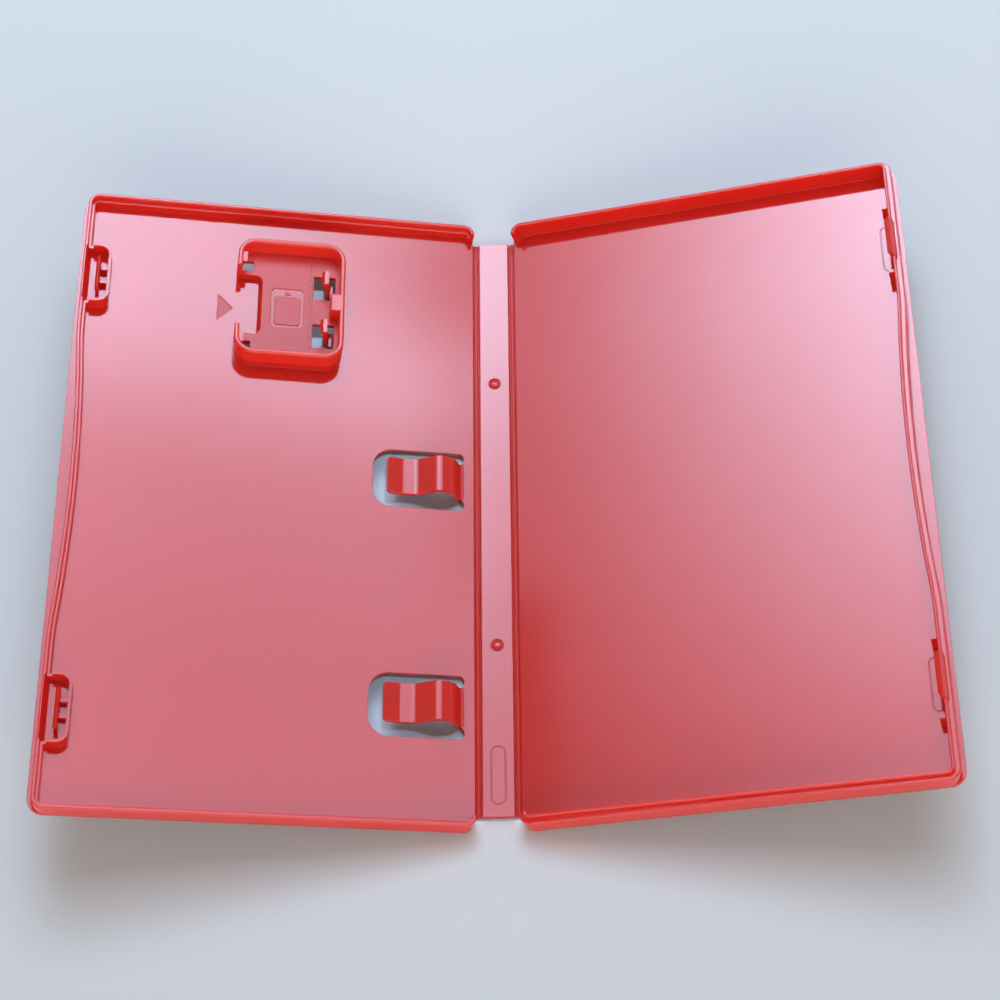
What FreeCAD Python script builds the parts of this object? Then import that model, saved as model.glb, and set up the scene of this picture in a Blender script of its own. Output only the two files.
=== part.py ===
"""An open, folding case for a small game cartridge, inside a clear outer sleeve.

The spine lies flat on the table along Y, and a half is raised on each side of it.
The tray is at -X and the cover at +X.  The origin is under the middle of the spine,
on the surface that the case rests on, with Z up.  Lengths are in millimetres.
"""
import math
import os

import FreeCAD, Part

Vector = FreeCAD.Vector

# Whole case
case_height = 170.0
leaf_width = 104.0
plate = 1.2
open_angle = 12.3

# Folding webs between the spine and the halves
fold_spacing = 9.5
fold_web = 0.55
fold_bead = 0.4
fold_clearance = 0.06
groove_floor = 0.55
groove_half = 1.05
spine_end_inset = 3.75

# Plan of a half
fold_corner = 2.9
plate_corner = 3.8
rim_corner = 3.0
flange = 1.05
recess_depth = 1.8
recess_half = 45.0
recess_blend = 100.0
recess_centre = 1.0

# Rims: the cover's inner lip drops inside the tray's outer lip
tray_rim = 5.0
rim_gap = 0.2
lip_overlap = 1.5
lip_wall = 1.0
ledge_wall = 0.8
lip_clearance = 0.2
rim_round = 0.36
small_round = 0.25

# Cartridge and its holder, placed from the fold axis and from the top end
card_width = 21.0
card_length = 31.0
card_depth = 3.3
card_play = 0.3
holder_from_fold = 35.6
holder_from_top = 12.0
holder_top_room = 1.2
holder_wall = 1.3
holder_corner = 5.0
holder_floor = 3.2
holder_rim = 8.0
holder_round = 0.55
finger_length = 18.1
finger_reach = 5.8
finger_shift = 0.45
finger_slope = 1.0
finger_corner = 2.0
holder_lip = 1.2
holder_lip_length = 3.0
holder_lip_thickness = 0.8
holder_lip_inset = 3.4
stop_length = 4.8
stop_reach = 2.3

# Sprung catches that hold the cartridge down
catch_spacing = 14.8
catch_from_wall = 0.9
catch_width = 4.0
catch_thickness = 1.1
catch_foot = 1.5
catch_nose = 0.65
catch_nose_height = 1.2
catch_lean = 0.5
catch_window = 7.2
catch_window_reach = 5.65
catch_window_shift = 0.4

# Booklet clips: sprung tongues over windows in the tray floor
clip_upper_from_top = 77.1
clip_lower_from_bottom = 31.2
clip_root = 4.6
clip_width = 10.0
clip_thickness = 1.1
clip_reach = 18.7
clip_crest = 5.75
clip_crest_place = 5.6
clip_shoulder = 4.75
clip_shoulder_place = 2.2
clip_trough = 2.55
clip_trough_place = 13.4
clip_tip_rise = 0.7
clip_bend = 2.2
clip_start = 0.35
clip_start_bend = 0.7
clip_tip_corner = 2.0
root_clearance = 0.06
window_margin = 3.2
window_end_gap = 3.4
window_corner = 5.0
root_notch_depth = 1.1

# Latches near the free edge
latch_from_end = 24.7
pocket_reach = 5.3
pocket_length = 17.6
pocket_wall = 0.75
pocket_corner = 3.0
pocket_rim = 5.0
pocket_lip = 0.5
pocket_slope = 1.2
hook_length = 11.2
hook_reach = 1.1
hook_stem = 0.5
hook_nose = 1.6
hook_nose_edge = 0.3
hook_crest = 0.15
hook_taper = 1.3
hook_depth = 2.4
hook_clearance = 0.3
bar_length = 10.2
bar_wall = 0.9
bar_nose = 0.25
bar_height = 4.9
bar_slope = 0.6
brace_wall = 1.2
brace_spacing = 4.0
brace_shift = 0.6
brace_height = 2.9
guide_wall = 0.85
guide_reach = 1.4
guide_height = 5.9
guide_clearance = 0.55

# Shallow moulded marks
mark_depth = 0.18
mark_line = 0.4
arrow_length = 4.0
arrow_width = 8.0
arrow_gap = 0.5
frame_width = 8.5
frame_length = 12.0
frame_shift = 1.44
frame_line = 0.9
frame_corner = 1.3
frame_head = 2.5
frame_chevron = 0.8
insert_mark_reach = 2.8
insert_mark_length = 13.6
insert_mark_line = 0.3
spine_mark_width = 3.7
spine_mark_length = 14.8
spine_mark_from_end = 10.3
spine_mark_line = 0.3
pip_spacing = 74.6
pip_hole = 3.4
pip_depth = 0.35
pip_dome = 3.0
pip_rise = 0.55

# Clear outer sleeve
film = 0.15
film_end_inset = 2.8
film_edge_inset = 0.4
film_fold_gap = 0.35

# Sizes that follow from the driving dimensions
half_height = case_height / 2
spine_half = half_height - spine_end_inset
closed_thickness = fold_spacing + 2 * fold_bead
cover_ledge = closed_thickness - tray_rim - rim_gap
cover_lip = cover_ledge + lip_overlap
tray_ledge = closed_thickness - cover_lip - rim_gap
tray_wall = lip_wall + ledge_wall
cover_wall = lip_wall + lip_clearance + ledge_wall
rim_outer = leaf_width - flange
tray_wall_face = rim_outer - tray_wall
cover_wall_face = rim_outer - cover_wall
holder_length = card_length + card_play + 2 * holder_wall
catch_window_near = holder_from_fold + holder_wall + catch_from_wall
catch_window_far = catch_window_near + catch_window_reach
catch_pivot = Vector(catch_window_near + catch_thickness / 2 + root_clearance, 0, catch_thickness / 2)
catch_face = catch_pivot.x + catch_foot + catch_lean + catch_thickness / 2
holder_far = catch_face + card_width + card_play + holder_wall
holder_middle = half_height - holder_from_top - holder_top_room - holder_length / 2
finger_middle = holder_middle + finger_shift
holder_under = holder_floor - plate
catch_underside = holder_floor + card_depth + card_play
latch_places = (half_height - latch_from_end, latch_from_end - half_height)
clip_places = {
    "booklet_clip_upper": half_height - clip_upper_from_top,
    "booklet_clip_lower": clip_lower_from_bottom - half_height,
}
hook_face = cover_wall_face - hook_reach
bar_face = hook_face - hook_clearance - bar_nose


def point(u, v):
    """A point of a plan or section drawn flat."""
    return Vector(u, v, 0)


def rounded_wire(corners):
    """Closed wire through corners (u, v, radius), each turned by a tangent arc."""
    spots = [point(u, v) for u, v, _ in corners]
    runs = []
    for index, (_, _, radius) in enumerate(corners):
        here = spots[index]
        back = (spots[index - 1] - here).normalize()
        ahead = (spots[(index + 1) % len(spots)] - here).normalize()
        half_angle = back.getAngle(ahead) / 2
        reach = radius / math.tan(half_angle)
        start = here + back * reach
        end = here + ahead * reach
        bisector = (back + ahead) * 1.0
        middle = here
        if radius > 0:
            bisector.normalize()
            middle = here + bisector * (radius / math.sin(half_angle) - radius)
        runs.append((start, middle, end, radius))
    edges = []
    for index, (start, middle, end, radius) in enumerate(runs):
        if radius > 0:
            edges.append(Part.Arc(start, middle, end).toShape())
        following = runs[(index + 1) % len(runs)][0]
        if (following - end).Length > 1e-6:
            edges.append(Part.LineSegment(end, following).toShape())
    return Part.Wire(edges)


def prism(wire, low, high):
    """Solid between two heights over a closed plan wire."""
    solid = Part.Face(wire).extrude(Vector(0, 0, high - low))
    solid.translate(Vector(0, 0, low))
    return solid


def block(u_low, u_high, v_low, v_high, low, high, radius=0.0):
    """Upright block over a rectangle with equally rounded corners."""
    corners = [
        (u_low, v_low, radius), (u_high, v_low, radius),
        (u_high, v_high, radius), (u_low, v_high, radius)]
    return prism(rounded_wire(corners), low, high)


def section_bar(wire, v_low, v_high):
    """Solid along Y whose section, drawn as (u, height), stands upright."""
    solid = Part.Face(wire).extrude(Vector(0, 0, v_high - v_low))
    solid.rotate(Vector(0, 0, 0), Vector(1, 0, 0), 90)
    solid.translate(Vector(0, v_high, 0))
    return solid


def rod(centre, radius, v_low, v_high):
    """Round rod along Y."""
    return Part.makeCylinder(radius, v_high - v_low, Vector(centre.x, v_low, centre.z), Vector(0, 1, 0))


def disc(u, v, radius, low, high):
    """Upright round solid."""
    return Part.makeCylinder(radius, high - low, Vector(u, v, low))


def ribbon(path, thickness):
    """Closed wire of a strip of even thickness along corners (u, height, radius)."""
    spots = [point(u, w) for u, w, _ in path]
    sides = []
    for sign in (1, -1):
        corners = []
        for index, (_, _, radius) in enumerate(path):
            runs = []
            if index > 0:
                runs.append((spots[index] - spots[index - 1]).normalize())
            if index < len(path) - 1:
                runs.append((spots[index + 1] - spots[index]).normalize())
            normals = [Vector(-run.y, run.x, 0) for run in runs]
            bisector = normals[0] + normals[-1]
            bisector.normalize()
            stretch = thickness / 2 / bisector.dot(normals[0])
            turn = runs[0].cross(runs[-1]).z
            spot = spots[index] + bisector * (sign * stretch)
            bend = radius
            if radius > 0:
                bend = radius - math.copysign(thickness / 2, turn) * sign
            corners.append((spot.x, spot.y, bend))
        sides.append(corners)
    return rounded_wire(sides[0] + sides[1][::-1])


def round_edges_at(solid, height, radius):
    """Round every edge of a solid that lies at one height."""
    edges = [edge for edge in solid.Edges if all(abs(vertex.Z - height) < 1e-6 for vertex in edge.Vertexes)]
    return solid.makeFillet(radius, edges)


def arc(centre, radius, start, end):
    """Arc edge about a centre, between two angles in degrees."""
    angles = (start, (start + end) / 2, end)
    spots = [centre + point(math.cos(math.radians(a)), math.sin(math.radians(a))) * radius for a in angles]
    return Part.Arc(*spots).toShape()


def rim_wire(inset):
    """Plan of a rim's outer face, with the thumb recess, moved inwards by an inset."""
    reach = (recess_half ** 2 + recess_depth ** 2) / (2 * recess_depth)
    swing = math.degrees(math.asin(recess_half / reach))
    hollow = reach - recess_blend
    hollow_middle = rim_outer - recess_depth + hollow
    blend_middle = rim_outer - recess_blend
    fold_middle = groove_half + fold_corner
    free_middle = rim_outer - rim_corner
    corner_arcs = [
        arc(point(fold_middle, fold_corner - half_height), fold_corner - inset, 180, 270),
        arc(point(free_middle, rim_corner - half_height), rim_corner - inset, 270, 360),
        arc(point(blend_middle, recess_centre - recess_half), recess_blend - inset, 0, swing),
        arc(point(hollow_middle, recess_centre), hollow + inset, 180 + swing, 180 - swing),
        arc(point(blend_middle, recess_centre + recess_half), recess_blend - inset, -swing, 0),
        arc(point(free_middle, half_height - rim_corner), rim_corner - inset, 0, 90),
        arc(point(fold_middle, half_height - fold_corner), fold_corner - inset, 90, 180),
    ]
    edges = []
    for index, edge in enumerate(corner_arcs):
        edges.append(edge)
        end = edge.valueAt(edge.LastParameter)
        following = corner_arcs[(index + 1) % len(corner_arcs)]
        start = following.valueAt(following.FirstParameter)
        if (start - end).Length > 1e-6:
            edges.append(Part.LineSegment(end, start).toShape())
    return Part.Wire(edges)


def rim_ring(outside, inside, top):
    """Rim wall between two insets, open along the fold, with a rounded top."""
    ring = prism(rim_wire(outside), 0, top).cut(prism(rim_wire(inside), 0, top))
    straight = half_height - fold_corner
    opening = block(0, groove_half + inside + lip_clearance, -straight, straight, 0, top)
    return round_edges_at(ring.cut(opening), top, rim_round)


def leaf_plate():
    """Floor of a half with the thin web that leads to its fold."""
    corners = [
        (groove_half, -half_height, fold_corner),
        (leaf_width, -half_height, plate_corner),
        (leaf_width, half_height, plate_corner),
        (groove_half, half_height, fold_corner),
    ]
    inside = groove_half + fold_web
    web = rounded_wire([
        (0, 0, 0), (inside, 0, 0), (inside, plate, 0),
        (groove_half, plate, 0), (groove_floor, fold_web, 0), (0, fold_web, 0),
    ])
    floor = prism(rounded_wire(corners), 0, plate).fuse(section_bar(web, -spine_half, spine_half))
    socket = rod(Vector(0, 0, fold_bead), fold_bead + fold_clearance, -half_height, half_height)
    return floor.cut(socket)


def place_leaf(shape, side):
    """Turn a shape drawn flat in a half's own frame to its place beside the spine."""
    placed = shape if side > 0 else shape.mirror(Vector(0, 0, 0), Vector(1, 0, 0))
    placed.rotate(Vector(0, 0, fold_bead), Vector(0, 1, 0), -side * open_angle)
    placed.translate(Vector(side * fold_spacing / 2, 0, film))
    return placed


def holder_block(inset, low, high):
    """Block over the holder's plan, moved inwards by an inset."""
    return block(
        holder_from_fold + inset, holder_far - inset,
        holder_middle - holder_length / 2 + inset,
        holder_middle + holder_length / 2 + holder_top_room - inset,
        low, high, holder_corner - inset)


def finger_wire(grow, deeper=0.0):
    """Plan of the finger notch, grown outwards all round and made deeper at its blind side."""
    reach = holder_far - finger_reach - grow - deeper
    half = finger_length / 2 + grow
    return rounded_wire([
        (reach, finger_middle - half, finger_corner + grow), (holder_far + plate, finger_middle - half, 0),
        (holder_far + plate, finger_middle + half, 0), (reach, finger_middle + half, finger_corner + grow),
    ])


def finger_hollow():
    """Finger notch with upright ends, whose blind side slopes down from the holder's floor."""
    foot = finger_wire(0)
    foot.translate(Vector(0, 0, plate))
    brink = finger_wire(0, finger_slope)
    brink.translate(Vector(0, 0, holder_floor))
    inside = block(0, holder_far - holder_wall, 0, half_height, 0, holder_rim)
    slopes = Part.makeLoft([foot, brink], True, True).common(inside)
    return prism(finger_wire(0), plate, holder_rim).fuse(slopes)


def catch_centres():
    """Places along Y of the two cartridge catches, upper one first."""
    return {
        "card_catch_upper": holder_middle + catch_spacing / 2,
        "card_catch_lower": holder_middle - catch_spacing / 2,
    }


def add_holder(tray):
    """Raise the cartridge holder, hollow underneath, with its notch, lips and windows."""
    walls = holder_block(0, 0, holder_rim).cut(holder_block(holder_wall, holder_floor, holder_rim))
    tray = tray.fuse(round_edges_at(walls, holder_rim, holder_round))
    finger_wall = prism(finger_wire(plate), 0, holder_under)
    under = holder_block(holder_wall, 0, holder_under).cut(finger_wall)
    tray = tray.cut(under).cut(finger_hollow())
    left_face = holder_far - holder_wall
    lip_middle = holder_length / 2 - holder_wall - holder_lip_inset
    for sign in (1, -1):
        middle = holder_middle + sign * lip_middle
        ends = (middle - holder_lip_length / 2, middle + holder_lip_length / 2)
        hole = block(left_face - 2.5 * holder_lip, left_face, *ends, holder_under, holder_floor, small_round)
        lip_low = catch_underside
        lip = block(left_face - holder_lip, left_face + holder_wall / 2, *ends,
                    lip_low, lip_low + holder_lip_thickness, small_round)
        tray = tray.cut(hole).fuse(lip)
    for middle in catch_centres().values():
        window_middle = middle - catch_window_shift
        ends = (window_middle - catch_window / 2, window_middle + catch_window / 2)
        window = block(catch_window_near, catch_window_far, *ends, holder_under, holder_floor, small_round)
        socket = rod(catch_pivot, catch_thickness / 2 + root_clearance, *ends)
        tray = tray.cut(window).cut(socket)
    stop_end = holder_from_fold + holder_wall + stop_reach
    stop_half = stop_length / 2
    stop = section_bar(rounded_wire([
        (holder_from_fold + holder_wall / 2, holder_under, 0), (stop_end, holder_under, 0),
        (stop_end, holder_rim, holder_round), (holder_from_fold + holder_wall / 2, holder_rim, 0)]),
        holder_middle - stop_half, holder_middle + stop_half)
    return tray.fuse(stop)


def add_holder_marks(tray):
    """Sink the framed rectangle, the step line and the arrow that points at the notch."""
    low = holder_floor - mark_depth
    middle = (catch_face + holder_far - holder_wall - finger_reach) / 2 + frame_shift
    half_width = frame_width / 2
    half_length = frame_length / 2
    outer = block(middle - half_width, middle + half_width, holder_middle - half_length,
                  holder_middle + half_length, low, holder_floor, frame_corner)
    inner = block(middle - half_width + frame_line, middle + half_width - frame_line,
                  holder_middle - half_length + frame_line, holder_middle + half_length - frame_head,
                  low, holder_floor, frame_corner - frame_line / 2)
    chevron_top = holder_middle + half_length - frame_line
    chevron = prism(rounded_wire([
        (middle - frame_chevron, chevron_top - frame_line, 0),
        (middle + frame_chevron, chevron_top - frame_line, 0),
        (middle, chevron_top, 0)]), low, holder_floor)
    tray = tray.cut(outer.cut(inner).cut(chevron))
    line_place = catch_window_far + mark_line
    line_half = card_length / 2 - card_play - holder_wall
    line = block(line_place, line_place + mark_line, holder_middle - line_half, holder_middle + line_half,
                 low, holder_floor)
    tip = holder_far + arrow_gap
    arrow = prism(rounded_wire([
        (tip, holder_middle, 0),
        (tip + arrow_length, holder_middle - arrow_width / 2, 0),
        (tip + arrow_length, holder_middle + arrow_width / 2, 0)]), plate - mark_depth, plate)
    return tray.cut(line).cut(arrow)


def clip_window(middle):
    """Opening round a booklet clip, with a notch at each side of the clip's root."""
    half = clip_width / 2 + window_margin
    far = clip_root + clip_reach + window_end_gap
    main = prism(rounded_wire([
        (clip_root, middle - half, 0), (far, middle - half, window_corner),
        (far, middle + half, window_corner), (clip_root, middle + half, 0)]), 0, plate)
    notch_half = (window_margin - root_clearance) / 2
    for sign in (1, -1):
        low = middle + sign * (half - notch_half) - notch_half
        high = low + 2 * notch_half
        near = clip_root - root_notch_depth
        inside = clip_root + plate
        notch = prism(rounded_wire([
            (near, low, 0.9 * notch_half), (inside, low, 0),
            (inside, high, 0), (near, high, 0.9 * notch_half)]), 0, plate)
        main = main.fuse(notch)
    pivot = Vector(clip_root, 0, plate / 2)
    socket = rod(pivot, clip_thickness / 2 + root_clearance, middle - half, middle + half)
    return main.fuse(socket)


def add_pocket(tray, middle):
    """Wall off a pocket behind the rim, slope the outer lip beside it and set the braced bar in it."""
    face = tray_wall_face - pocket_reach
    half = pocket_length / 2
    lip_room = cover_wall_face - hook_clearance

    def loop(inset, far, low, top):
        near = face + inset
        bottom, end = middle - half + inset, middle + half - inset
        bend = pocket_corner - inset
        corners = [(near, bottom, bend), (far, bottom, 0), (far, end, 0), (near, end, bend)]
        return prism(rounded_wire(corners), low, top)

    low_wall = loop(0, tray_wall_face + ledge_wall / 2, 0, tray_ledge)
    tall_wall = loop(0, lip_room, 0, pocket_rim)
    brink = rim_outer - pocket_lip
    foot = brink - pocket_slope
    slope = section_bar(
        rounded_wire([(foot, plate, 0), (brink, tray_rim, 0), (foot, tray_rim, 0)]),
        middle - half + pocket_wall, middle + half - pocket_wall)
    tray = tray.fuse([low_wall, tall_wall]).cut(loop(pocket_wall, foot, plate, pocket_rim)).cut(slope)
    shoulder = bar_height - bar_slope
    bar = section_bar(rounded_wire([
        (bar_face - bar_wall, plate / 2, 0), (bar_face, plate / 2, 0), (bar_face, shoulder - bar_nose, 0),
        (bar_face + bar_nose, shoulder, 0), (bar_face + bar_nose - bar_slope, bar_height, 0),
        (bar_face - bar_wall, shoulder, 0)]), middle - bar_length / 2, middle + bar_length / 2)
    pieces = [bar]
    for sign in (1, -1):
        place = middle + brace_shift + sign * brace_spacing / 2
        pieces.append(block(face + pocket_wall / 2, bar_face - bar_wall / 2,
                            place - brace_wall / 2, place + brace_wall / 2, plate / 2, brace_height))
    return tray.fuse(pieces)


def make_tray():
    """Left half: floor, stepped rim, cartridge holder, clip windows and latch pockets."""
    tray = leaf_plate().fuse([rim_ring(0, tray_wall, tray_ledge), rim_ring(0, lip_wall, tray_rim)])
    for middle in latch_places:
        tray = add_pocket(tray, middle)
    tray = add_holder_marks(add_holder(tray))
    for middle in clip_places.values():
        tray = tray.cut(clip_window(middle))
    return place_leaf(tray.removeSplitter(), -1)


def latch_hook(middle):
    """Broad hook over the cover's lip and ledge with a sloping top, and the ribs that straddle the pocket."""
    top = closed_thickness - hook_depth
    root = cover_wall_face + ledge_wall / 2
    outer = rim_outer - pocket_lip - hook_clearance
    outer_foot = cover_ledge + rim_gap
    outer_tip = outer - pocket_slope * (top - outer_foot) / (tray_rim - plate)
    nose_low = top - hook_nose
    stem = cover_wall_face - hook_stem
    half = hook_length / 2
    section = rounded_wire([
        (outer, plate / 2, 0), (stem, plate / 2, 0), (stem, nose_low - hook_reach + hook_stem, 0),
        (hook_face, nose_low, 0), (hook_face, nose_low + hook_nose_edge, 0),
        (outer_tip - hook_crest, top, 0), (outer_tip, top - hook_crest, 0), (outer, outer_foot, 0)])
    hook = section_bar(section, middle - half, middle + half)
    taper = prism(rounded_wire([
        (outer, middle - half, 0), (outer, middle + half, 0), (hook_face, middle + half, 0),
        (hook_face, middle - half + hook_taper, 0), (cover_wall_face, middle - half, 0)]), 0, top)
    pieces = [hook.common(taper)]
    guide_near = pocket_length / 2 + guide_clearance
    for sign in (1, -1):
        place = middle + sign * (guide_near + guide_wall / 2)
        ends = (place - guide_wall / 2, place + guide_wall / 2)
        pieces.append(block(cover_wall_face - guide_reach, root, *ends, plate / 2, guide_height))
    return pieces


def insert_mark(middle):
    """Shallow line on the cover floor round a hook."""
    low = plate - mark_depth
    near = hook_face - insert_mark_reach + hook_reach
    half = insert_mark_length / 2
    outer = block(near, cover_wall_face, middle - half, middle + half, low, plate, insert_mark_reach / 2)
    inset = insert_mark_line
    inner = block(near + inset, cover_wall_face - inset, middle - half + inset, middle + half - inset,
                  low, plate, insert_mark_reach / 2 - inset)
    return outer.cut(inner)


def make_cover():
    """Right half: floor, stepped rim and latch hooks."""
    cover = leaf_plate().fuse([
        rim_ring(0, cover_wall, cover_ledge),
        rim_ring(lip_wall + lip_clearance, cover_wall, cover_lip)])
    for middle in latch_places:
        cover = cover.cut(insert_mark(middle)).fuse(latch_hook(middle))
    return place_leaf(cover.removeSplitter(), 1)


def make_spine():
    """Flat spine with a sloping edge, thin web and round bead along each fold."""
    axis = fold_spacing / 2
    flat = axis - groove_half
    foot = axis - groove_floor
    section = rounded_wire([
        (-axis, 0, 0), (axis, 0, 0), (axis, fold_web, 0), (foot, fold_web, 0), (flat, plate, 0),
        (-flat, plate, 0), (-foot, fold_web, 0), (-axis, fold_web, 0)])
    spine = section_bar(section, -spine_half, spine_half)
    for sign in (1, -1):
        spine = spine.fuse(rod(Vector(sign * axis, 0, fold_bead), fold_bead, -spine_half, spine_half))
        pip_place = sign * pip_spacing / 2
        dish = disc(0, pip_place, pip_hole / 2, plate - pip_depth, plate)
        ball = (pip_dome ** 2 / 4 + pip_rise ** 2) / (2 * pip_rise)
        crown = plate - pip_depth + pip_rise
        dome = Part.makeSphere(ball, Vector(0, pip_place, crown - ball))
        dome = dome.common(disc(0, pip_place, pip_dome / 2, plate / 2, crown))
        spine = spine.cut(dish).fuse(dome)
    low = plate - mark_depth
    middle = spine_mark_from_end - spine_half
    half_width = spine_mark_width / 2
    half_length = spine_mark_length / 2
    outer = block(-half_width, half_width, middle - half_length, middle + half_length,
                  low, plate, half_width - spine_mark_line / 4)
    inner = block(spine_mark_line - half_width, half_width - spine_mark_line,
                  middle - half_length + spine_mark_line, middle + half_length - spine_mark_line,
                  low, plate, half_width - 5 * spine_mark_line / 4)
    spine = spine.cut(outer.cut(inner)).removeSplitter()
    spine.translate(Vector(0, 0, film))
    return spine


def make_clip(middle):
    """S-shaped tongue that rises over a shoulder, dips to press a booklet and turns up at its tip."""
    half_thick = clip_thickness / 2
    start = plate / 2
    crest = clip_crest - half_thick
    trough = clip_trough - half_thick
    flat = clip_bend / 2
    path = [
        (clip_root, start, 0),
        (clip_root + clip_start, start, clip_start_bend),
        (clip_root + clip_shoulder_place, clip_shoulder - half_thick, clip_bend),
        (clip_root + clip_crest_place, crest, clip_bend),
        (clip_root + clip_trough_place - 2 * flat, trough, 2 * clip_bend),
        (clip_root + clip_trough_place + flat, trough, 2 * clip_bend),
        (clip_root + clip_reach, trough + clip_tip_rise, 0),
    ]
    half = clip_width / 2
    tongue = section_bar(ribbon(path, clip_thickness), middle - half, middle + half)
    far = clip_root + clip_reach + half_thick
    plan = rounded_wire([
        (clip_root - half_thick, middle - half, 0), (far, middle - half, clip_tip_corner),
        (far, middle + half, clip_tip_corner), (clip_root - half_thick, middle + half, 0)])
    tongue = tongue.common(prism(plan, -plate, clip_crest + plate))
    tongue = tongue.fuse(rod(Vector(clip_root, 0, start), half_thick, middle - half, middle + half))
    return place_leaf(tongue.removeSplitter(), -1)


def make_catch(middle):
    """Sprung hook that stands up through the holder's window and leans over the cartridge."""
    half = catch_width / 2
    half_thick = catch_thickness / 2
    stem_foot = catch_pivot.x + catch_foot
    stem_head = stem_foot + catch_lean
    top = catch_underside + catch_nose_height
    path = [
        (catch_pivot.x, catch_pivot.z, 0), (stem_foot, catch_pivot.z, catch_thickness),
        (stem_head, top, 0)]
    stem = section_bar(ribbon(path, catch_thickness), middle - half, middle + half)
    face = stem_head + half_thick
    nose = section_bar(rounded_wire([
        (stem_head, catch_underside, 0), (face + catch_nose, catch_underside, small_round / 2),
        (face + catch_nose, catch_underside + catch_nose_height / 3, small_round / 2),
        (face, top, small_round / 2), (stem_head - half_thick, top, 0)]), middle - half, middle + half)
    catch = stem.fuse([nose, rod(catch_pivot, half_thick, middle - half, middle + half)])
    ceiling = block(0, leaf_width, middle - half, middle + half, 0, top)
    return place_leaf(catch.common(ceiling).removeSplitter(), -1)


def make_leaf_film(side):
    """Clear film under one half, square at its corners by the fold."""
    long_half = half_height - film_end_inset
    far = leaf_width - film_edge_inset
    corner = plate_corner - film_edge_inset
    sheet = prism(rounded_wire([
        (film_fold_gap, -long_half, 0), (far, -long_half, corner), (far, long_half, corner),
        (film_fold_gap, long_half, 0)]), -film, 0)
    return place_leaf(sheet, side)


def make_spine_film():
    """Clear film under the spine, longer than the spine."""
    half = fold_spacing / 2 - film_fold_gap
    long_half = half_height - film_end_inset
    return block(-half, half, -long_half, long_half, 0, film)


def make_parts():
    """Every sub-part by name."""
    parts = {
        "spine": make_spine(),
        "tray_half": make_tray(),
        "cover_half": make_cover(),
        "sleeve_spine": make_spine_film(),
        "sleeve_tray": make_leaf_film(-1),
        "sleeve_cover": make_leaf_film(1),
    }
    for name, middle in clip_places.items():
        parts[name] = make_clip(middle)
    for name, middle in catch_centres().items():
        parts[name] = make_catch(middle)
    return parts


def main():
    """Write one STEP file for each sub-part."""
    os.makedirs("parts", exist_ok=True)
    for name, shape in make_parts().items():
        shape.exportStep(os.path.join("parts", name + ".step"))
        box = shape.BoundBox
        print(name, "solids", len(shape.Solids), "valid", shape.isValid(), "volume", round(shape.Volume, 1),
              "x", round(box.XMin, 2), round(box.XMax, 2), "z", round(box.ZMin, 2), round(box.ZMax, 2))


main()
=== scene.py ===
"""Looks of the open folding case for a small game card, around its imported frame.

Everything is in metres in the frame of the solids: the spine lies along Y, the tray is at -X and
the cover at +X, and both are raised from the folds.
"""
import math

import bmesh
import bpy
from mathutils import Matrix, Vector


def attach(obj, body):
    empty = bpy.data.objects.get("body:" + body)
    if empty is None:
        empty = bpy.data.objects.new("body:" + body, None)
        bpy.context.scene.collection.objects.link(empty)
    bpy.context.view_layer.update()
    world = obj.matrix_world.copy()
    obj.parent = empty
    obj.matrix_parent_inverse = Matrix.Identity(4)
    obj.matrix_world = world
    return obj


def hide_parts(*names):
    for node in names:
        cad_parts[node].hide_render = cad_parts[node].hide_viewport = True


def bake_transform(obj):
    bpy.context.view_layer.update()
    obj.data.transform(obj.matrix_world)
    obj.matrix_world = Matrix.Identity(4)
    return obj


MM = 0.001

# Sizes that the solids have, in millimetres
OPEN_ANGLE = math.radians(12.3)
FOLD_X = 4.75
FILM = 0.15
BEAD = 0.4
WEB = 0.55
PLATE = 1.2
HALF_HEIGHT = 85.0
LEAF_WIDTH = 104.0
SPINE_HALF = HALF_HEIGHT - 3.75
FILM_FOLD_GAP = 0.35
FILM_END = HALF_HEIGHT - 2.8
FILM_FAR = LEAF_WIDTH - 0.4
FILM_CORNER = 3.4
FILM_CLEAR = 0.02
CLIP_ROOT = 4.6
CLIP_HALF = 5.0
CLIP_PLACES = {"booklet_clip_upper": 7.9, "booklet_clip_lower": -53.8}
LATCH_PLACES = (60.3, -60.3)

# Frosted places of the halves: share of frost, plan corners, level and depth, in millimetres; the holder's
# walls also get painted glow
HOLDER_WALLS = ((35.5, 37.8), (63.7, 73.1), 5.7, 2.45)
TRAY_FROST = [
    (0.20, (36.9, 39.2), (62.26, 71.7), 3.2, 0.25),
    (0.16, (36.9, 39.2), (62.26, 71.7), 3.2, 0.05),
    (0.16, *HOLDER_WALLS),
    (0.36, (64.0, 50.8), (68.1, 58.9), PLATE - 0.18, 0.05),
]
COVER_FROST = [(0.30, (99.8, v - 5.7), (102.25, v + 5.7), 6.55, 1.4) for v in LATCH_PLACES]

# The camera fitted to the photograph
CAMERA_PLACE = Vector((25.09, -254.215, 480.363)) * MM
CAMERA_YAW = math.radians(-3.659)
CAMERA_PITCH = math.radians(-61.75)
CAMERA_ROLL = math.radians(-5.201)
CAMERA_FOCAL_SHARE = 2.150404
CAMERA_SHIFT = -0.03
SENSOR = 36.0

# Lamps: where they are and point to, and their sizes, in metres, with radiance and tint
KEY_LAMP = {
    "place": (0.0, 0.58, 0.9), "target": (0.0, 0.58, 0), "width": 1.1, "depth": 0.9,
    "radiance": 7.0, "tint": (0.74, 0.95, 1.25),
}
FILL_LAMP = {
    "place": (0.1, -1.2, 0.55), "target": (0, 0, 0), "width": 1.4, "depth": 0.8,
    "radiance": 2.2, "tint": (1.0, 0.96, 0.92),
}

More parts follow.
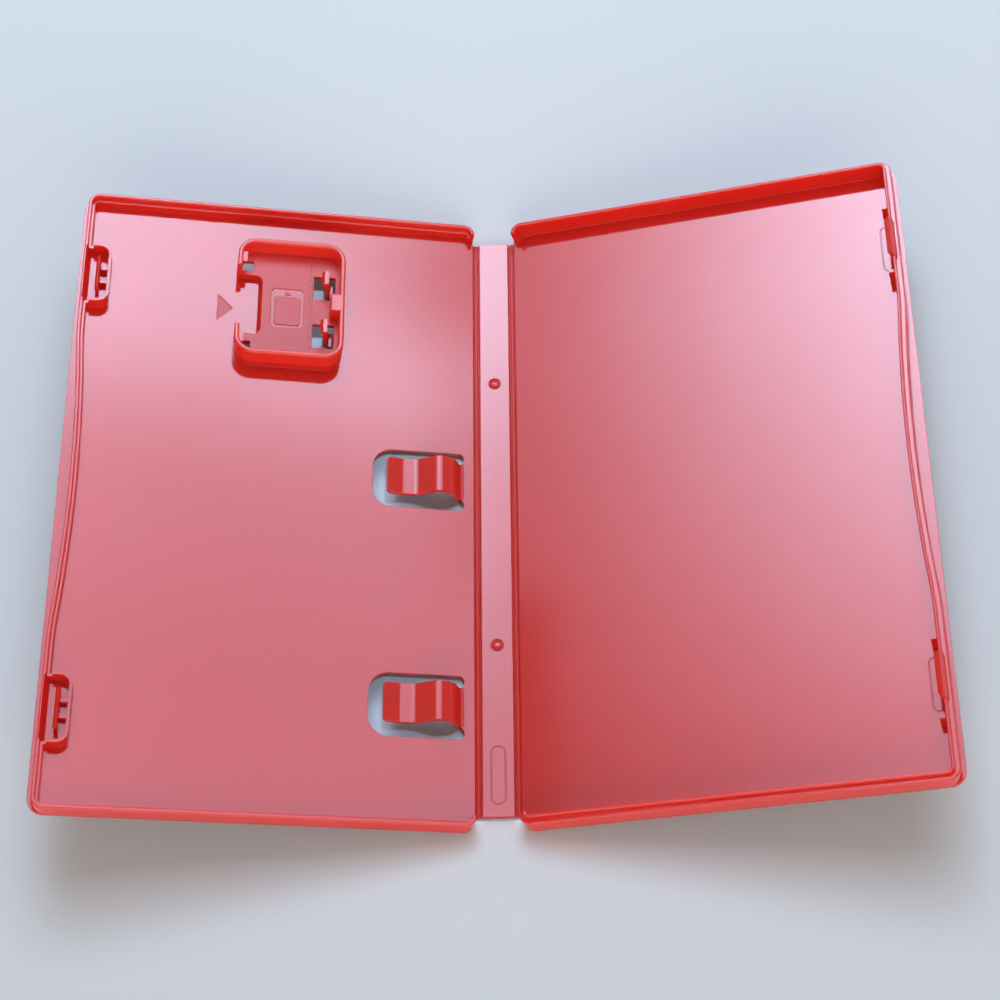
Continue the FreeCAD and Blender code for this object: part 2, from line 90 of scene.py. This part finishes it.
# Glow of the key lamp, by shares of its width (across) and its depth (along): from, to, low and high
GLOW_CLIMB = (0.08, 0.38, 0, 1)
GLOW_CLIMB_POWER = 1.5
GLOW_FOOT = 0.15
GLOW_FALL = (0.38, 0.62, 1, 0.72)
GLOW_OVER_COVER = (0.17, 0.60, 0.30, 1.12)
GLOW_OVER_TRAY = (0.25, 0.65, 0.36, 0.64)
GLOW_TRAY_STEP = (0.40, 0.58, 0, 0.45)
GLOW_CHANGE = (0.40, 0.52, 0, 1)

# Places where the glow fades: span across, span along and share lost
GLOW_LOSSES = {
    "far corner": ((0.62, 0.80), (0.52, 0.64), 0.55),
    "fold edge": ((0.74, 0.83), (0.28, 0.42), 0.4),
    "near corner": ((0.14, 0.09), (0.40, 0.33), 0.9),
}

# Plain floor and surround of the stage
FLOOR_SIZE = 4.0
FLOOR_DROP = 0.1 * MM
FLOOR_COLOUR = (0.82, 0.80, 0.77, 1)
LOW_SKY = (0.66, 0.66, 0.67)
HIGH_SKY = (0.22, 0.22, 0.23)
HIGH_SKY_FROM = 0.55

# Looks of the red moulding: its slow cloudiness runs between two reds, and a brighter red on the holder's
# thin walls is painted glow of light shining through them
DEEP_RED = (0.78, 0.024, 0.014)
LIGHT_RED = (0.86, 0.034, 0.020)
PAINTED_GLOW_RED = (1.0, 0.05, 0.028)
SCATTER_SHARES = (1.0, 0.12, 0.06)
SCATTER_REACH = 3.0 * MM
CLOUD_SCALE = 28
GLOSS_GRAIN = 700
PLASTIC_ROUGHNESS = (0.06, 0.10)
EDGE_RADIUS = 0.3 * MM
WARP_SCALE = 20
WARP_DEPTH = 0.12 * MM

# Looks of the clear film, with the dull weld at its ends from one distance of the end to another
FILM_TINT = (0.93, 0.95, 0.99, 1)
FILM_GRAIN = 160
FILM_ROUGHNESS = (0.02, 0.08)
WELD_SPAN = ((FILM_END - 0.8) * MM, (FILM_END - 0.6) * MM)
WELD_ROUGHNESS = 0.5
RIPPLE_SCALE = 45
RIPPLE_DEPTH = 0.1 * MM

# Range of the noise that sets a roughness, and the angle from which an edge is sharp
NOISE_RANGE = (0.3, 0.7)
SHARP_ANGLE = math.radians(35)

# Thin skins, in millimetres: how far they stand out of the solids and reach into them
FOLD_SKIN_RISE = 0.03
FOLD_SKIN_SINK = 0.05
CLIP_SKIN_RISE = 0.02
CLIP_SKIN_SINK = 0.22
CLIP_SKIN_LEAN = 0.12
CLIP_SKIN_TOP = [(-1.0, 0.0), (-0.6, 0.0), (-0.35, 0.01), (-0.15, 0.06),
                 (0.03, 0.18), (0.16, 0.35), (0.28, 0.55), (0.40, 0.77)]


def leaf_point(u, v, w, side):
    """Place of a point of a half: u out from the fold, v along it, w above the outer face, in mm."""
    height = w - BEAD
    x = side * (FOLD_X + u * math.cos(OPEN_ANGLE) - height * math.sin(OPEN_ANGLE))
    z = FILM + BEAD + u * math.sin(OPEN_ANGLE) + height * math.cos(OPEN_ANGLE)
    return Vector((x, v, z)) * MM


def spine_point(x, v, z):
    """Place of a point beside the spine, with z above the spine's outer face, in mm."""
    return Vector((x, v, FILM + z)) * MM


def new_object(name, mesh_data, material):
    """Object of a finished mesh, linked and given its material."""
    obj = bpy.data.objects.new(name, mesh_data)
    bpy.context.scene.collection.objects.link(obj)
    obj.data.materials.append(material)
    return obj


def mesh_from(name, bm, smooth=True):
    """Mesh data from a bmesh, with its faces turned outwards."""
    bmesh.ops.recalc_face_normals(bm, faces=bm.faces)
    for face in bm.faces:
        face.smooth = smooth
    data = bpy.data.meshes.new(name)
    bm.to_mesh(data)
    bm.free()
    data.set_sharp_from_angle(angle=SHARP_ANGLE)
    return data


def lofted(name, rings, material):
    """Closed solid through rings of points, capped at both ends."""
    bm = bmesh.new()
    loops = [[bm.verts.new(p) for p in ring] for ring in rings]
    count = len(loops[0])
    for low, high in zip(loops, loops[1:]):
        for i in range(count):
            j = (i + 1) % count
            bm.faces.new((low[i], low[j], high[j], high[i]))
    bm.faces.new(loops[0][::-1])
    bm.faces.new(loops[-1])
    return new_object(name, mesh_from(name, bm), material)


class Tree:
    """Short way to add nodes to a node tree and join them."""

    def __init__(self, owner):
        owner.use_nodes = True
        self.tree = owner.node_tree
        self.tree.nodes.clear()

    def add(self, kind, **settings):
        node = self.tree.nodes.new(kind)
        for key, value in settings.items():
            setattr(node, key, value)
        return node

    def join(self, source, target):
        self.tree.links.new(source, target)

    def noise(self, coordinates, scale, detail=2.0, roughness=0.5):
        node = self.add("ShaderNodeTexNoise")
        node.inputs["Scale"].default_value = scale
        node.inputs["Detail"].default_value = detail
        node.inputs["Roughness"].default_value = roughness
        self.join(coordinates, node.inputs["Vector"])
        return node.outputs["Fac"]

    def bump(self, height, depth):
        node = self.add("ShaderNodeBump")
        node.inputs["Strength"].default_value = 1.0
        node.inputs["Distance"].default_value = depth
        self.join(height, node.inputs["Height"])
        return node

    def remap(self, value, low, high, out_low, out_high, smooth=False):
        node = self.add("ShaderNodeMapRange", interpolation_type="SMOOTHSTEP" if smooth else "LINEAR")
        for key, number in zip(("From Min", "From Max", "To Min", "To Max"), (low, high, out_low, out_high)):
            node.inputs[key].default_value = number
        self.join(value, node.inputs["Value"])
        return node.outputs["Result"]

    def mixed(self, factor, first, second):
        node = self.add("ShaderNodeMix", data_type="RGBA")
        for socket, colour in ((node.inputs[6], first), (node.inputs[7], second)):
            if isinstance(colour, bpy.types.NodeSocket):
                self.join(colour, socket)
            else:
                socket.default_value = (*colour, 1)
        self.join(factor, node.inputs[0])
        return node.outputs[2]

    def maths(self, operation, *values):
        node = self.add("ShaderNodeMath", operation=operation)
        for socket, value in zip(node.inputs, values):
            if isinstance(value, (int, float)):
                socket.default_value = value
            else:
                self.join(value, socket)
        return node.outputs[0]

    def along(self, place, direction, start):
        """Distance of a place along a direction from a start."""
        node = self.add("ShaderNodeVectorMath", operation="DOT_PRODUCT")
        node.inputs[1].default_value = direction
        self.join(place, node.inputs[0])
        return self.maths("SUBTRACT", node.outputs["Value"], start.dot(direction))

    def leaf_patch(self, place, side, low, high, level, depth):
        """One between two plan corners of a half and near one level, in mm, and zero elsewhere."""
        across = Vector((side * math.cos(OPEN_ANGLE), 0, math.sin(OPEN_ANGLE)))
        upright = Vector((-side * math.sin(OPEN_ANGLE), 0, math.cos(OPEN_ANGLE)))
        start = leaf_point(0, 0, 0, side)
        spans = (
            (self.along(place, across, start), low[0], high[0]),
            (self.along(place, Vector((0, 1, 0)), start), low[1], high[1]),
            (self.along(place, upright, start), level - depth, level + depth),
        )
        inside = None
        for distance, near, far in spans:
            between = self.maths("COMPARE", distance, (near + far) / 2 * MM, (far - near) / 2 * MM)
            inside = between if inside is None else self.maths("MULTIPLY", inside, between)
        return inside


def finish_material(tree, settings, clear=False):
    """Principled shader with plain values, joined to the output. A clear one lets lamplight through."""
    shader = tree.add("ShaderNodeBsdfPrincipled")
    for key, value in settings.items():
        shader.inputs[key].default_value = value
    surface = shader.outputs["BSDF"]
    if clear:
        through = tree.add("ShaderNodeMixShader")
        tree.join(tree.add("ShaderNodeLightPath").outputs["Is Shadow Ray"], through.inputs[0])
        tree.join(surface, through.inputs[1])
        tree.join(tree.add("ShaderNodeBsdfTransparent").outputs["BSDF"], through.inputs[2])
        surface = through.outputs["Shader"]
    output = tree.add("ShaderNodeOutputMaterial")
    tree.join(surface, output.inputs["Surface"])
    return shader


def red_plastic(name, side=0, frost=(), glow=0.9, shine=0.75, depth=1.0, painted_glow_patch=None):
    """Glossy red moulding: slow cloudiness, fine unevenness of gloss, a faint warp and frosted patches."""
    material = bpy.data.materials.new(name)
    tree = Tree(material)
    place = tree.add("ShaderNodeTexCoord").outputs["Object"]
    shader = finish_material(tree, {
        "IOR": 1.58,
        "Specular IOR Level": shine,
        "Subsurface Weight": glow,
        "Subsurface Radius": SCATTER_SHARES,
        "Subsurface Scale": SCATTER_REACH,
    })
    cloud = tree.noise(place, CLOUD_SCALE, 3)
    # depth scales both reds; below 1 it darkens them as painted shade
    reds = [[depth * share for share in red] for red in (DEEP_RED, LIGHT_RED)]
    colour = tree.mixed(cloud, *reds)
    # Painted glow: the holder's walls are mixed to a brighter red, standing in for light shining through them
    if painted_glow_patch:
        colour = tree.mixed(tree.leaf_patch(place, side, *painted_glow_patch), colour, PAINTED_GLOW_RED)
    tree.join(colour, shader.inputs["Base Color"])
    roughness = tree.remap(tree.noise(place, GLOSS_GRAIN), *NOISE_RANGE, *PLASTIC_ROUGHNESS)
    for share, *patch in frost:
        roughness = tree.maths("MULTIPLY_ADD", tree.leaf_patch(place, side, *patch), share, roughness)
    tree.join(roughness, shader.inputs["Roughness"])
    soft_edge = tree.add("ShaderNodeBevel", samples=2)
    soft_edge.inputs["Radius"].default_value = EDGE_RADIUS
    warp = tree.bump(tree.noise(place, WARP_SCALE, 1), WARP_DEPTH)
    tree.join(soft_edge.outputs["Normal"], warp.inputs["Normal"])
    tree.join(warp.outputs["Normal"], shader.inputs["Normal"])
    return material


def clear_film(name):
    """Clear glossy film with a faint ripple and dull welded ends."""
    material = bpy.data.materials.new(name)
    tree = Tree(material)
    place = tree.add("ShaderNodeTexCoord").outputs["Object"]
    shader = finish_material(tree, {
        "Base Color": FILM_TINT,
        "IOR": 1.45,
        "Specular IOR Level": 0.3,
        "Transmission Weight": 1.0,
    }, clear=True)
    from_middle = tree.maths("ABSOLUTE", tree.along(place, Vector((0, 1, 0)), Vector()))
    weld = tree.remap(from_middle, *WELD_SPAN, 0, WELD_ROUGHNESS)
    gloss = tree.remap(tree.noise(place, FILM_GRAIN), *NOISE_RANGE, *FILM_ROUGHNESS)
    tree.join(tree.maths("ADD", gloss, weld), shader.inputs["Roughness"])
    ripple = tree.bump(tree.noise(place, RIPPLE_SCALE), RIPPLE_DEPTH)
    tree.join(ripple.outputs["Normal"], shader.inputs["Normal"])
    return material


def stations(middle, half_length):
    """Nine even places along a strip, from end to end."""
    return [middle + half_length * (step / 4 - 1) for step in range(9)]


def fold_strip(name, side, leaf_body, outline, half_length, material):
    """Strip along a fold through outline points (body, across, height), bent between the spine and a half."""
    rings = []
    for v in stations(0, half_length):
        ring = []
        for owner, across, height in outline:
            if owner == "spine":
                ring.append(spine_point(side * (FOLD_X + across), v, height))
            else:
                ring.append(leaf_point(across, v, height, side))
        rings.append(ring)
    strip = lofted(name + "_" + leaf_body, rings, material)
    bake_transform(strip)
    return strip


def fold_skin(side, leaf_body, material):
    """Thin moulded skin over a fold's bead, from the spine's web to the half's web."""
    lean = math.degrees(OPEN_ANGLE)

    def section(offset):
        points = [("spine", -0.50, WEB + offset), ("spine", -0.42, WEB + offset)]
        for step in range(9):
            angle = math.radians(150 - step * (120 - lean) / 8)
            reach = BEAD + offset
            points.append(("spine", reach * math.cos(angle), BEAD + reach * math.sin(angle)))
        points.append(("leaf", 0.46, WEB + offset))
        points.append(("leaf", 0.54, WEB + offset))
        return points

    outline = section(FOLD_SKIN_RISE) + section(-FOLD_SKIN_SINK)[::-1]
    fold_strip("fold_skin", side, leaf_body, outline, SPINE_HALF, material)


def film_bridge(side, leaf_body, material):
    """Film that runs on below a fold, from the spine's film to the half's film."""
    lean = math.degrees(OPEN_ANGLE)

    def section(depth):
        points = [("spine", across, -depth) for across in (-0.7, -0.35, -0.2, -0.1)]
        for step in range(5):
            angle = math.radians(step * lean / 4 - 90)
            reach = BEAD + depth
            points.append(("spine", reach * math.cos(angle), BEAD + reach * math.sin(angle)))
        return points + [("leaf", across, -depth) for across in (0.1, 0.2, 0.35, 0.7)]

    outline = section(0.05) + section(0.12)[::-1]
    fold_strip("film_bridge", side, leaf_body, outline, FILM_END - 0.05, material)


def film_sheet(node, body, outline, place, material):
    """Flat film under one body, just clear of the moulding above it, in place of its solid."""
    rings = [[place(u, v, height) for u, v in outline] for height in (-FILM, -FILM_CLEAR)]
    sheet = lofted(node + "_film", rings, material)
    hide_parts(node)
    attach(sheet, body)


def add_sleeve(material):
    """Clear sleeve below the whole case: a film under each body and a bridge below each fold."""
    corner_u, corner_v = FILM_FAR - FILM_CORNER, FILM_END - FILM_CORNER
    half_plan = [(FILM_FOLD_GAP, FILM_END), (FILM_FOLD_GAP, -FILM_END)]
    for sign in (-1, 1):
        for step in range(7):
            angle = math.radians(15 * step - 45 + 45 * sign)
            half_plan.append((corner_u + FILM_CORNER * math.cos(angle),
                              sign * corner_v + FILM_CORNER * math.sin(angle)))
    reach = FOLD_X - FILM_FOLD_GAP
    spine_plan = [(-reach, -FILM_END), (reach, -FILM_END), (reach, FILM_END), (-reach, FILM_END)]
    film_sheet("sleeve_spine", "spine", spine_plan, spine_point, material)
    for side, body in ((-1, "tray"), (1, "cover")):
        film_sheet("sleeve_" + body, body, half_plan, lambda u, v, w: leaf_point(u, v, w, side), material)
        film_bridge(side, body, material)


def clip_skin(name, middle, material):
    """Thin skin that runs from the tray floor up a clip's root, so that the two look moulded as one."""
    above = [(u, PLATE + w + CLIP_SKIN_RISE) for u, w in CLIP_SKIN_TOP]
    below = [(u + CLIP_SKIN_LEAN, PLATE + w - CLIP_SKIN_SINK) for u, w in CLIP_SKIN_TOP[::-1]]
    rings = []
    for v in stations(middle, CLIP_HALF):
        rings.append([leaf_point(CLIP_ROOT + u, v, w, -1) for u, w in above + below])
    skin = lofted(name + "_root_skin", rings, material)
    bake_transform(skin)


def look_at(place, target):
    """Matrix of a lamp at a place, turned to a target."""
    direction = (Vector(target) - Vector(place)).normalized()
    return Matrix.Translation(place) @ direction.to_track_quat("-Z", "Y").to_matrix().to_4x4()


def add_camera():
    """Camera where the photograph was taken from."""
    yaw, pitch, roll = CAMERA_YAW, CAMERA_PITCH, CAMERA_ROLL
    ahead = Vector((math.sin(yaw) * math.cos(pitch), math.cos(yaw) * math.cos(pitch), math.sin(pitch)))
    right = Vector((math.cos(yaw), -math.sin(yaw), 0))
    up = right.cross(ahead)
    turned_right = right * math.cos(roll) + up * math.sin(roll)
    turned_up = up * math.cos(roll) - right * math.sin(roll)
    data = bpy.data.cameras.new("camera")
    data.sensor_width = SENSOR
    data.lens = CAMERA_FOCAL_SHARE * SENSOR
    data.shift_x = CAMERA_SHIFT
    data.clip_start = 0.01
    camera = bpy.data.objects.new("camera", data)
    bpy.context.scene.collection.objects.link(camera)
    turn = Matrix((turned_right, turned_up, -ahead)).transposed()
    camera.matrix_world = Matrix.Translation(CAMERA_PLACE) @ turn.to_4x4()
    bpy.context.scene.camera = camera


def shape_glow(data):
    """Make the key lamp brighter towards its far end and fade it at its sides and corners."""
    tree = Tree(data)
    emission = tree.add("ShaderNodeEmission")
    output = tree.add("ShaderNodeOutputLight")
    tree.join(emission.outputs[0], output.inputs[0])
    where = tree.add("ShaderNodeSeparateXYZ")
    tree.join(tree.add("ShaderNodeNewGeometry").outputs["Parametric"], where.inputs[0])
    across, along = where.outputs["X"], where.outputs["Y"]
    climb = tree.maths("POWER", tree.remap(across, *GLOW_CLIMB), GLOW_CLIMB_POWER)
    rise = tree.remap(climb, 0, 1, GLOW_FOOT, 1)
    strength = tree.maths("MULTIPLY", rise, tree.remap(across, *GLOW_FALL))
    over_cover = tree.remap(along, *GLOW_OVER_COVER)
    tray_step = tree.remap(along, *GLOW_TRAY_STEP, True)
    over_tray = tree.maths("ADD", tree.remap(along, *GLOW_OVER_TRAY), tray_step)
    change = tree.maths("SUBTRACT", over_tray, over_cover)
    lengthwise = tree.maths("MULTIPLY_ADD", tree.remap(across, *GLOW_CHANGE, True), change, over_cover)
    strength = tree.maths("MULTIPLY", strength, lengthwise)
    for across_ends, along_ends, loss in GLOW_LOSSES.values():
        lost = tree.maths("MULTIPLY", tree.remap(across, *across_ends, 0, loss, True),
                          tree.remap(along, *along_ends, 0, 1, True))
        strength = tree.maths("MULTIPLY", strength, tree.maths("SUBTRACT", 1, lost))
    tree.join(strength, emission.inputs["Strength"])


def add_softbox(name, place, target, width, depth, radiance, tint):
    """Large flat lamp that the camera doesn't see."""
    data = bpy.data.lights.new(name, "AREA")
    data.shape = "RECTANGLE"
    data.size = width
    data.size_y = depth
    data.energy = radiance * math.pi * width * depth
    data.color = tint
    lamp = bpy.data.objects.new(name, data)
    bpy.context.scene.collection.objects.link(lamp)
    lamp.matrix_world = look_at(place, target)
    lamp.visible_camera = False
    return data


def add_stage():
    """Pale floor, soft lamps and a plain pale surround."""
    bm = bmesh.new()
    below = Matrix.Translation((0, 0, -FLOOR_DROP))
    bmesh.ops.create_grid(bm, x_segments=1, y_segments=1, size=FLOOR_SIZE, matrix=below)
    material = bpy.data.materials.new("pale_floor")
    tree = Tree(material)
    finish_material(tree, {"Base Color": FLOOR_COLOUR, "Roughness": 0.7, "Specular IOR Level": 0.2})
    floor = new_object("floor", mesh_from("floor", bm), material)

    shape_glow(add_softbox("key_softbox", **KEY_LAMP))
    add_softbox("front_fill", **FILL_LAMP)

    world = bpy.data.worlds.new("surround")
    bpy.context.scene.world = world
    tree = Tree(world)
    background = tree.add("ShaderNodeBackground")
    output = tree.add("ShaderNodeOutputWorld")
    tree.join(background.outputs[0], output.inputs[0])
    where = tree.add("ShaderNodeSeparateXYZ")
    tree.join(tree.add("ShaderNodeTexCoord").outputs["Generated"], where.inputs[0])
    height = tree.remap(where.outputs["Z"], 0, HIGH_SKY_FROM, 0, 1, True)
    tree.join(tree.mixed(height, LOW_SKY, HIGH_SKY), background.inputs["Color"])


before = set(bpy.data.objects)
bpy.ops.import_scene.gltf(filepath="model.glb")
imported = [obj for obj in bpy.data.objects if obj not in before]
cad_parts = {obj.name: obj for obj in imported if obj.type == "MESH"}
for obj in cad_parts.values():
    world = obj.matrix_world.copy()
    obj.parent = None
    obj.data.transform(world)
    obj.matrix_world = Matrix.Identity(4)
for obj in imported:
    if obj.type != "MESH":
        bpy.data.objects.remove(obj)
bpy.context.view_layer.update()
bpy.context.scene.view_settings.view_transform = "Standard"

plastic = red_plastic("red_moulded_plastic")
tray_plastic = red_plastic("red_moulded_plastic_tray", -1, TRAY_FROST, painted_glow_patch=HOLDER_WALLS)
cover_plastic = red_plastic("red_moulded_plastic_cover", 1, COVER_FROST)
# Painted shade: the skins' reds are made 0.9 as bright and their shine lowered, so that the fold grooves and
# clip roots read deep red
skin_plastic = red_plastic("red_moulded_plastic_skin", glow=0.0, shine=0.3, depth=0.9)
film_look = clear_film("clear_sleeve_film")
node_looks = {"tray_half": tray_plastic, "cover_half": cover_plastic}
for node_name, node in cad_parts.items():
    node.data.materials.clear()
    node.data.materials.append(node_looks.get(node_name, plastic))

add_sleeve(film_look)
for fold_side, fold_body in ((-1, "tray"), (1, "cover")):
    fold_skin(fold_side, fold_body, skin_plastic)
for clip_name, clip_middle in CLIP_PLACES.items():
    clip_skin(clip_name, clip_middle, skin_plastic)

add_camera()
add_stage()
